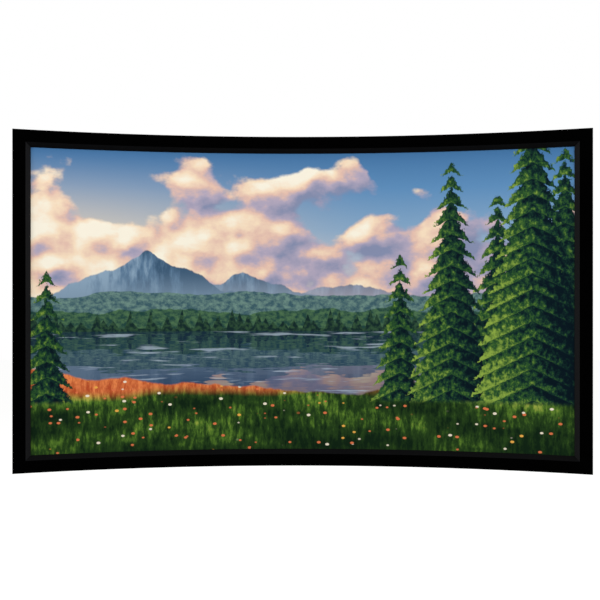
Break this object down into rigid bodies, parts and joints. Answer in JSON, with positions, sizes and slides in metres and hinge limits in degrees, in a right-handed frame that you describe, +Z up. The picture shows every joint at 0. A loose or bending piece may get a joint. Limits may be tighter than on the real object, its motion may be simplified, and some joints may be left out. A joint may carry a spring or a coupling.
{
  "type": "curved fixed frame projector screen",
  "caption": "Wide projection screen held taut in a curved frame with a bevelled black velvet face, braced and hung from behind.",
  "frame": {"origin": "in the wall plane, at the middle of the back face of the top middle wall bracket", "axes": "+X to the viewer's right along the screen's width, +Y into the wall, +Z up; the viewer is at -Y and the picture is concave towards the viewer"},
  "size_m": [2.56, 0.2159, 1.516],
  "materials": {
    "rail": "extruded aluminium, mill finish with fine die lines",
    "velvet": "black velvet, matte, wrapped round the rails",
    "screen": null,
    "rod": "drawn glass fibre rod, off-white",
    "spring": "bright spring wire",
    "bracket": "zinc plated",
    "bar": "extruded aluminium tube, mill finish",
    "knob": "black moulded, fine texture",
    "wall_bracket": "black powder coated sheet steel"
  },
  "bodies": {
    "root": {"top_rail_left": "rail", "top_rail_right": "rail", "bottom_rail_left": "rail", "bottom_rail_right": "rail", "left_rail": "rail", "right_rail": "rail", "top_velvet_left": "velvet", "top_velvet_right": "velvet", "bottom_velvet_left": "velvet", "bottom_velvet_right": "velvet", "left_velvet": "velvet", "right_velvet": "velvet", "screen_fabric": "screen", "top_tension_rod": "rod", "bottom_tension_rod": "rod", "left_tension_rod": "rod", "right_tension_rod": "rod", "top_spring_1": "spring", "top_spring_2": "spring", "top_spring_3": "spring", "top_spring_4": "spring", "top_spring_5": "spring", "top_spring_6": "spring", "top_spring_7": "spring", "top_spring_8": "spring", "bottom_spring_1": "spring", "bottom_spring_2": "spring", "bottom_spring_3": "spring", "bottom_spring_4": "spring", "bottom_spring_5": "spring", "bottom_spring_6": "spring", "bottom_spring_7": "spring", "bottom_spring_8": "spring", "left_spring_1": "spring", "left_spring_2": "spring", "left_spring_3": "spring", "left_spring_4": "spring", "left_spring_5": "spring", "right_spring_1": "spring", "right_spring_2": "spring", "right_spring_3": "spring", "right_spring_4": "spring", "right_spring_5": "spring", "corner_bracket_top_left": "bracket", "corner_bracket_top_right": "bracket", "corner_bracket_bottom_left": "bracket", "corner_bracket_bottom_right": "bracket", "top_joiner": "rail", "bottom_joiner": "rail", "support_bar_left": "bar", "support_bar_right": "bar", "support_bolt_top_left": "knob", "support_bolt_bottom_left": "knob", "support_bolt_top_right": "knob", "support_bolt_bottom_right": "knob", "wall_bracket_top_middle": "wall_bracket", "wall_bracket_top_left": "wall_bracket", "wall_bracket_top_right": "wall_bracket", "wall_bracket_bottom_left": "wall_bracket", "wall_bracket_bottom_right": "wall_bracket"}
  },
  "joints": []
}
